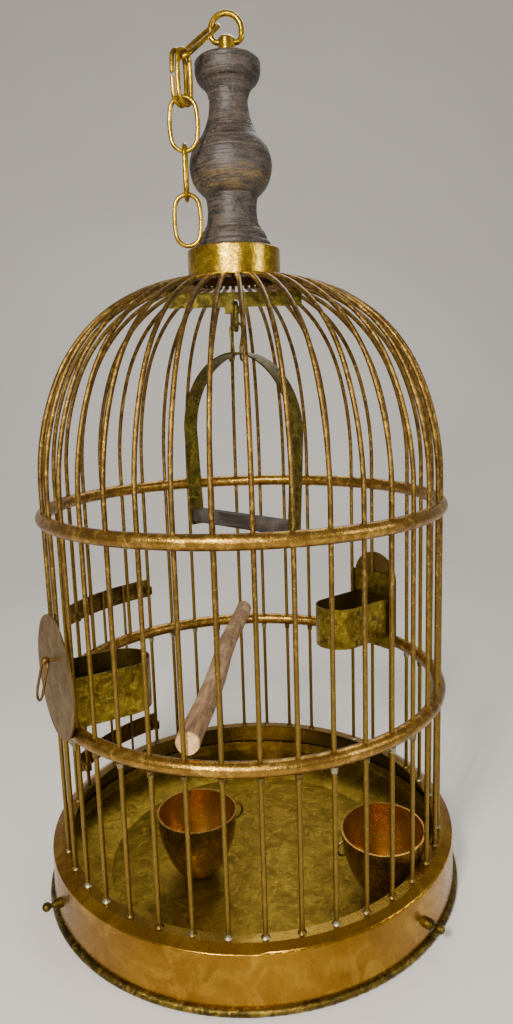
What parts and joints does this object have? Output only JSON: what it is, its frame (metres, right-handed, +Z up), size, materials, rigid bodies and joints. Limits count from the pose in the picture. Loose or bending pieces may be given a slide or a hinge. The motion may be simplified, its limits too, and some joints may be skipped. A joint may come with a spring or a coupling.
{
  "type": "bird_cage",
  "caption": "Round domed antique brass bird cage with a base band, drop tray, seed drawers, swing, perch, bowls, turned wooden finial and chain",
  "frame": {"origin": "on the cage's axis, in the plane that the base ring stands on", "axes": "+Z up, -Y the side that faces the viewer, +X to the viewer's right"},
  "size_m": [0.3868, 0.3868, 0.7582],
  "materials": {
    "aged_brass": "aged, brown-olive patina",
    "hoop_brass": "aged, rubbed golden brown",
    "base_copper_brass": "smooth satin, warm copper brown",
    "dark_brass": "dark olive patina",
    "solder": "dull grey solder",
    "bright_brass": "satin golden brass",
    "swing_brass": "dull olive brass",
    "steel_stud": "dull steel",
    "dark_wood": "dry dark turned wood",
    "weathered_wood": "dry grey-brown wood",
    "perch_wood": "dry pale stick",
    "tray_brass": "satin olive gold",
    "bowl_copper": "aged coppery brass",
    "bowl_wire": "aged wire",
    "feeder_brass": "mottled yellow-olive brass",
    "disc_brass": "matte brown-olive brass",
    "door_brass": "aged brown brass"
  },
  "bodies": {
    "cage": {"bars_right": "aged_brass", "bars_back": "aged_brass", "bars_left": "aged_brass", "bars_front": "aged_brass", "bars_above_door": "aged_brass", "bars_cut_at_feeders": "aged_brass", "lower_hoop": "hoop_brass", "upper_hoop": "hoop_brass", "hoop_solder": "solder", "foot_solder": "solder", "base_band": "base_copper_brass", "base_edge_wire": "dark_brass", "screw_bosses": "dark_brass", "dome_collar": "bright_brass", "swing_crossbar": "swing_brass", "swing_lug": "swing_brass", "finial_tie_rod": "steel_stud", "finial_tie_nut": "steel_stud", "finial": "dark_wood", "dome_nut": "bright_brass", "feeder_frame_left": "feeder_brass", "feeder_frame_right": "feeder_brass"},
    "hanging_ring": {"hanging_ring": "bright_brass"},
    "chain_1": {"chain_link_1": "bright_brass"},
    "chain_2": {"chain_link_2_open": "bright_brass", "chain_link_2_closed": "bright_brass"},
    "chain_3": {"chain_link_3": "bright_brass"},
    "chain_4": {"chain_link_4": "bright_brass"},
    "chain_5": {"chain_link_5": "bright_brass"},
    "tray": {"tray": "tray_brass"},
    "tray_screw_left": {"tray_screw_left": "dark_brass"},
    "tray_screw_right": {"tray_screw_right": "dark_brass"},
    "bowl_left": {"bowl_left": "bowl_copper", "bowl_ears_left": "bowl_wire"},
    "bowl_right": {"bowl_right": "bowl_copper", "bowl_ears_right": "bowl_wire"},
    "feeder_left": {"feeder_cup_left": "feeder_brass", "feeder_cover_left": "disc_brass", "feeder_pin_left": "disc_brass"},
    "feeder_right": {"feeder_cup_right": "feeder_brass", "feeder_cover_right": "disc_brass", "feeder_pin_right": "disc_brass"},
    "pull_left": {"feeder_pull_left": "disc_brass"},
    "pull_right": {"feeder_pull_right": "disc_brass"},
    "door": {"door_wires": "aged_brass", "door_top_strip": "door_brass", "door_bottom_strip": "door_brass", "door_guides": "door_brass"},
    "swing_shackle": {"swing_shackle": "swing_brass"},
    "swing_hanger": {"swing_hanger": "swing_brass"},
    "swing": {"swing_arch": "swing_brass", "swing_perch": "weathered_wood", "swing_nails": "swing_brass"},
    "long_perch": {"long_perch": "perch_wood"}
  },
  "joints": [
    {"name": "ring_lean", "type": "hinge", "parent": "cage", "child": "hanging_ring", "pos_m": [0, 0, 0.7338], "axis": [-1, 0, 0], "range_deg": [0, 20]},
    {"name": "chain_1_lift", "type": "hinge", "parent": "hanging_ring", "child": "chain_1", "pos_m": [-0.0126, 0, 0.7432], "axis": [-0.792, 0.6106, 0], "range_deg": [0, 25]},
    {"name": "chain_2_swing", "type": "hinge", "parent": "chain_1", "child": "chain_2", "pos_m": [-0.0365, -0.031, 0.7098], "axis": [-0.792, 0.6106, 0], "range_deg": [0, 20]},
    {"name": "chain_3_swing", "type": "hinge", "parent": "chain_2", "child": "chain_3", "pos_m": [-0.0365, -0.031, 0.6752], "axis": [0.6106, 0.792, 0], "range_deg": [-10, 10]},
    {"name": "chain_4_swing", "type": "hinge", "parent": "chain_3", "child": "chain_4", "pos_m": [-0.0365, -0.031, 0.641], "axis": [-1, 0, 0], "range_deg": [0, 20]},
    {"name": "chain_5_swing", "type": "hinge", "parent": "chain_4", "child": "chain_5", "pos_m": [-0.0365, -0.031, 0.6038], "axis": [0, 1, 0], "range_deg": [0, 20]},
    {"name": "tray_drop", "type": "slide", "parent": "cage", "child": "tray", "axis": [0, 0, -1], "range_m": [0, 0.045]},
    {"name": "tray_screw_left_out", "type": "slide", "parent": "cage", "child": "tray_screw_left", "axis": [-0.8957, -0.4446, 0], "range_m": [0, 0.006]},
    {"name": "tray_screw_right_out", "type": "slide", "parent": "cage", "child": "tray_screw_right", "axis": [0.729, -0.6845, 0], "range_m": [0, 0.006]},
    {"name": "bowl_left_lift", "type": "slide", "parent": "tray", "child": "bowl_left", "axis": [0, 0, 1], "range_m": [0, 0.06]},
    {"name": "bowl_right_lift", "type": "slide", "parent": "tray", "child": "bowl_right", "axis": [0, 0, 1], "range_m": [0, 0.06]},
    {"name": "feeder_left_pull_out", "type": "slide", "parent": "cage", "child": "feeder_left", "axis": [-0.8763, -0.4818, 0], "range_m": [0, 0.08]},
    {"name": "pull_left_lift", "type": "hinge", "parent": "feeder_left", "child": "pull_left", "pos_m": [-0.16352, -0.0899, 0.24], "axis": [-0.4818, 0.8763, 0], "range_deg": [0, 75]},
    {"name": "feeder_right_pull_out", "type": "slide", "parent": "cage", "child": "feeder_right", "axis": [0.7902, 0.6129, 0], "range_m": [0, 0.08]},
    {"name": "pull_right_lift", "type": "hinge", "parent": "feeder_right", "child": "pull_right", "pos_m": [0.14744, 0.11437, 0.24], "axis": [0.6129, -0.7902, 0], "range_deg": [0, 75]},
    {"name": "door_lift", "type": "slide", "parent": "cage", "child": "door", "axis": [0, 0, 1], "range_m": [0, 0.09]},
    {"name": "swing_shackle_rock", "type": "hinge", "parent": "cage", "child": "swing_shackle", "pos_m": [0, 0, 0.5255], "axis": [-0.0314, 0.9995, 0], "range_deg": [-8, 8]},
    {"name": "swing_hanger_sway", "type": "hinge", "parent": "swing_shackle", "child": "swing_hanger", "pos_m": [0, 0, 0.5075], "axis": [0.682, -0.7314, 0], "range_deg": [-12, 12]},
    {"name": "swing_rock", "type": "hinge", "parent": "swing_hanger", "child": "swing", "pos_m": [0, 0, 0.4824], "axis": [0.7314, 0.682, 0], "range_deg": [-5, 5]},
    {"name": "perch_lift", "type": "slide", "parent": "cage", "child": "long_perch", "axis": [0, 0, 1], "range_m": [0, 0.06]}
  ]
}
